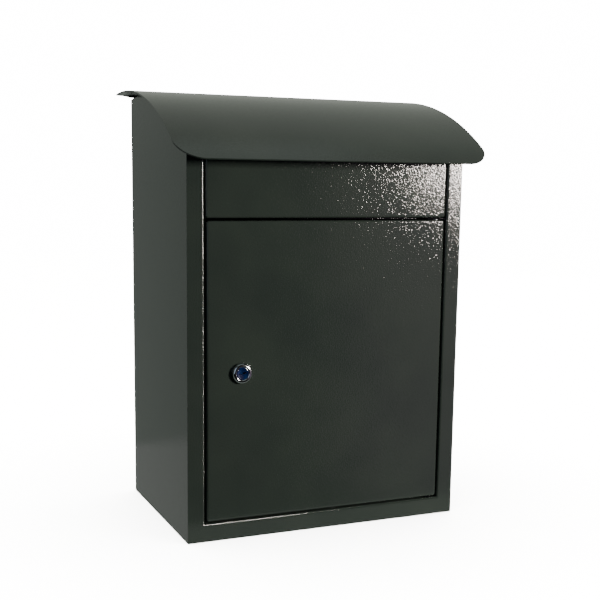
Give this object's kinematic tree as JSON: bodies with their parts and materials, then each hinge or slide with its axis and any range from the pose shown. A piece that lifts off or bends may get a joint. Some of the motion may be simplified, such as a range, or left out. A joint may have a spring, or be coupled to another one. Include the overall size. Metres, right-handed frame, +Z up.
{
  "type": "wall mounted mailbox",
  "caption": "Folded steel wall mailbox with a rolled overhanging roof, a push-in mail flap and a hinged locking door.",
  "frame": {"origin": "centre of the four wall holes on the back face", "axes": "+Z up, +Y into the wall along the wall bolts, the door and flap face -Y, +X to the right seen from the front"},
  "size_m": [0.334, 0.234, 0.4475],
  "materials": {
    "powder_coat": "dark grey-green powder coat with a fine hammered texture",
    "zinc_plate": "bright zinc plated steel",
    "chrome": "polished chrome plated zinc casting",
    "plug_blue": "glossy blue plug face",
    "rubber": "matt black rubber",
    "nylon": "black nylon"
  },
  "bodies": {
    "cabinet": {"side_panel_left": "powder_coat", "side_panel_right": "powder_coat", "front_frame": "powder_coat", "back_panel": "powder_coat", "bottom_panel": "powder_coat", "header_bar": "powder_coat", "transom": "powder_coat", "roof": "powder_coat", "roof_bracket_left": "powder_coat", "roof_bracket_right": "powder_coat", "roof_studs": "zinc_plate", "roof_nuts": "zinc_plate", "mail_chute": "powder_coat", "chute_rivets": "powder_coat", "hinge_plate": "powder_coat", "hinge_bush": "nylon", "door_buffers": "rubber", "flap_rod": "zinc_plate", "flap_rod_clips": "zinc_plate"},
    "door": {"door_panel": "powder_coat", "door_stiffener": "powder_coat", "hinge_bracket_upper": "powder_coat", "hinge_bracket_lower": "powder_coat", "hinge_pin_upper": "zinc_plate", "hinge_pin_lower": "zinc_plate", "lock_body": "chrome", "lock_nut": "zinc_plate"},
    "flap": {"flap_panel": "powder_coat", "flap_stop_bar": "powder_coat", "flap_buffers": "rubber"},
    "lock": {"lock_plug": "plug_blue", "lock_cam": "zinc_plate", "cam_washer": "zinc_plate", "cam_screw": "zinc_plate"}
  },
  "joints": [
    {"name": "door_hinge", "type": "hinge", "parent": "cabinet", "child": "door", "pos_m": [0.1223, -0.197, -0.05125], "axis": [0, 0, 1], "range_deg": [0, 115]},
    {"name": "flap_hinge", "type": "hinge", "parent": "cabinet", "child": "flap", "pos_m": [0, -0.1985, 0.159], "axis": [1, 0, 0], "range_deg": [0, 55]},
    {"name": "lock_turn", "type": "hinge", "parent": "door", "child": "lock", "pos_m": [-0.0945, -0.196, -0.05125], "axis": [0, 1, 0], "range_deg": [0, 90]}
  ]
}
